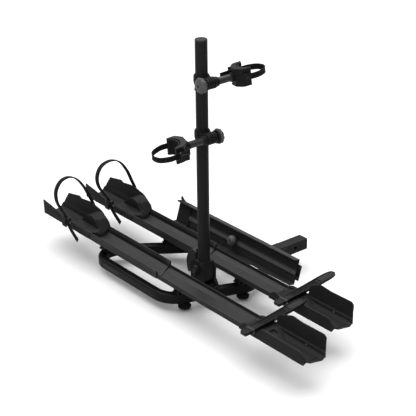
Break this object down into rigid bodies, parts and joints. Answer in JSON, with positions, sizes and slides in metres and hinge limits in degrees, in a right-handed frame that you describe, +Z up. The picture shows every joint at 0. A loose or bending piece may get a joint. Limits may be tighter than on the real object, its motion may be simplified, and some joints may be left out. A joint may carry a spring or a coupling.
{
  "type": "hitch mounted bike rack",
  "caption": "Tilting receiver hitch carrier with parallel wheel trays, strap cups, a folding centre mast with clamp arms and a stowed ramp.",
  "frame": {"origin": "centre of the hitch pin hole, on the middle line of the receiver shank", "axes": "+X along the wheel trays, +Y forwards along the shank into the receiver, +Z up"},
  "size_m": [1.8066, 0.8452, 1.167],
  "materials": {
    "black_paint": "satin black powder coat",
    "black_anodised": "satin black anodised extrusion",
    "black_plastic": "fine moulded texture",
    "black_rubber": "matt",
    "pale_grip": "satin mid grey",
    "zinc_steel": "zinc plated"
  },
  "bodies": {
    "hitch": {"hitch_shank": "black_paint", "hitch_clevis": "black_paint", "tilt_pin": "zinc_steel"},
    "tilt_lever": {"tilt_release_lever": "black_plastic"},
    "rack": {"ring_frame": "black_paint", "foot_near": "black_rubber", "foot_far": "black_rubber", "tray_bracket_near_left": "black_paint", "tray_bracket_near_right": "black_paint", "tray_bracket_far_left": "black_paint", "tray_bracket_far_right": "black_paint", "tray_rail_near": "black_anodised", "tray_rail_far": "black_anodised", "rear_cup_near": "black_plastic", "rear_cup_far": "black_plastic", "rear_strap_hanger_near": "black_plastic", "rear_strap_hanger_far": "black_plastic", "mast_bracket": "black_paint", "ramp_bracket": "black_paint"},
    "mast_pin": {"mast_pin_knob": "black_plastic"},
    "mast": {"mast_hinge_block": "black_paint", "mast_tube": "black_anodised", "mast_cap": "black_plastic"},
    "mast_lever": {"mast_release_lever": "black_plastic"},
    "ramp": {"ramp_channel": "black_anodised", "ramp_end": "black_plastic", "ramp_hooks": "black_plastic"},
    "ramp_knob": {"ramp_knob": "pale_grip"},
    "near_front": {"tray_sleeve_near": "black_anodised", "front_cup_near": "black_plastic", "front_buckle_near": "black_plastic", "front_strap_near": "black_rubber", "front_strap_anchor_near": "black_plastic"},
    "near_buckle_lever": {"front_buckle_lever_near": "black_plastic"},
    "near_rear_strap": {"rear_strap_near": "black_rubber"},
    "far_front": {"tray_sleeve_far": "black_anodised", "front_cup_far": "black_plastic", "front_buckle_far": "black_plastic", "front_strap_far": "black_rubber", "front_strap_anchor_far": "black_plastic"},
    "far_buckle_lever": {"front_buckle_lever_far": "black_plastic"},
    "far_rear_strap": {"rear_strap_far": "black_rubber"},
    "upper_liner": {"upper_arm_liner": "black_rubber"},
    "upper_arm": {"upper_arm_saddle": "black_plastic", "upper_arm_rod": "black_anodised"},
    "upper_knob": {"upper_arm_knob": "pale_grip"},
    "upper_head": {"upper_arm_cradle": "black_plastic", "upper_arm_pad": "black_rubber", "upper_arm_strap": "black_rubber", "upper_arm_buckle": "black_plastic"},
    "upper_ratchet_lever": {"upper_arm_ratchet_lever": "black_plastic"},
    "lower_liner": {"lower_arm_liner": "black_rubber"},
    "lower_arm": {"lower_arm_saddle": "black_plastic", "lower_arm_rod": "black_anodised"},
    "lower_knob": {"lower_arm_knob": "pale_grip"},
    "lower_head": {"lower_arm_cradle": "black_plastic", "lower_arm_pad": "black_rubber", "lower_arm_strap": "black_rubber", "lower_arm_buckle": "black_plastic"},
    "lower_ratchet_lever": {"lower_arm_ratchet_lever": "black_plastic"}
  },
  "joints": [
    {"name": "rack_tilt", "type": "hinge", "parent": "hitch", "child": "rack", "pos_m": [0, -0.141, 0], "axis": [1, 0, 0], "range_deg": [-90, 20]},
    {"name": "tilt_release", "type": "hinge", "parent": "hitch", "child": "tilt_lever", "pos_m": [0, -0.072, -0.043], "axis": [-1, 0, 0], "range_deg": [0, 30]},
    {"name": "mast_pin_turn", "type": "hinge", "parent": "rack", "child": "mast_pin", "pos_m": [-0.006, -0.503, 0.059], "axis": [0, 1, 0], "continuous": true},
    {"name": "mast_fold", "type": "hinge", "parent": "rack", "child": "mast", "pos_m": [-0.006, -0.503, 0.059], "axis": [0, -1, 0], "range_deg": [-65, 0]},
    {"name": "mast_release", "type": "hinge", "parent": "mast", "child": "mast_lever", "pos_m": [-0.039, -0.503, 0.072], "axis": [0, 1, 0], "range_deg": [0, 10], "stiffness_Nm_per_rad": 2, "springref_deg": -8.59},
    {"name": "ramp_lift", "type": "slide", "parent": "rack", "child": "ramp", "axis": [0, 0.2924, 0.9563], "range_m": [0, 0.12]},
    {"name": "ramp_knob_turn", "type": "hinge", "parent": "ramp", "child": "ramp_knob", "pos_m": [-0.112, -0.24, 0.063], "axis": [0, 0.9563, -0.2924], "continuous": true},
    {"name": "near_tray_slide", "type": "slide", "parent": "rack", "child": "near_front", "axis": [1, 0, 0], "range_m": [0, 0.18]},
    {"name": "near_buckle_release", "type": "hinge", "parent": "near_front", "child": "near_buckle_lever", "pos_m": [-0.738, -0.719, 0.094], "axis": [-1, 0, 0], "range_deg": [0, 60]},
    {"name": "near_rear_strap_swing", "type": "hinge", "parent": "rack", "child": "near_rear_strap", "pos_m": [0.521, -0.696, 0.057], "axis": [1, 0, 0], "range_deg": [0, 70]},
    {"name": "far_tray_slide", "type": "slide", "parent": "rack", "child": "far_front", "axis": [1, 0, 0], "range_m": [0, 0.18]},
    {"name": "far_buckle_release", "type": "hinge", "parent": "far_front", "child": "far_buckle_lever", "pos_m": [-0.762, -0.465, 0.094], "axis": [-1, 0, 0], "range_deg": [0, 60]},
    {"name": "far_rear_strap_swing", "type": "hinge", "parent": "rack", "child": "far_rear_strap", "pos_m": [0.431, -0.442, 0.057], "axis": [1, 0, 0], "range_deg": [0, 70]},
    {"name": "upper_arm_height", "type": "slide", "parent": "mast", "child": "upper_liner", "axis": [0, 0, 1], "range_m": [-0.08, 0.1]},
    {"name": "upper_arm_swivel", "type": "hinge", "parent": "upper_liner", "child": "upper_arm", "pos_m": [0, -0.503, 0.895], "axis": [0, 0, 1], "range_deg": [-12, 12]},
    {"name": "upper_knob_turn", "type": "hinge", "parent": "upper_arm", "child": "upper_knob", "pos_m": [0.05, -0.543, 0.895], "axis": [0, 1, 0], "continuous": true},
    {"name": "upper_head_turn", "type": "hinge", "parent": "upper_arm", "child": "upper_head", "pos_m": [0.05, -0.397, 0.895], "axis": [0, 1, 0], "range_deg": [-45, 45]},
    {"name": "upper_ratchet", "type": "hinge", "parent": "upper_head", "child": "upper_ratchet_lever", "pos_m": [0.00405, -0.32073, 0.90206], "axis": [0.0182, 0.1029, -0.9945], "range_deg": [0, 60], "stiffness_Nm_per_rad": 0.05, "springref_deg": -8.59},
    {"name": "lower_arm_height", "type": "slide", "parent": "mast", "child": "lower_liner", "axis": [0, 0, 1], "range_m": [-0.06, 0.06]},
    {"name": "lower_arm_swivel", "type": "hinge", "parent": "lower_liner", "child": "lower_arm", "pos_m": [0, -0.503, 0.662], "axis": [0, 0, 1], "range_deg": [-12, 12]},
    {"name": "lower_knob_turn", "type": "hinge", "parent": "lower_arm", "child": "lower_knob", "pos_m": [0.05, -0.463, 0.662], "axis": [0, 1, 0], "continuous": true},
    {"name": "lower_head_turn", "type": "hinge", "parent": "lower_arm", "child": "lower_head", "pos_m": [0.05, -0.615, 0.662], "axis": [0, 1, 0], "range_deg": [-45, 45]},
    {"name": "lower_ratchet", "type": "hinge", "parent": "lower_head", "child": "lower_ratchet_lever", "pos_m": [0.09333, -0.69062, 0.64246], "axis": [-0.1413, 0.171, -0.9751], "range_deg": [0, 60], "stiffness_Nm_per_rad": 0.05, "springref_deg": -8.59}
  ]
}
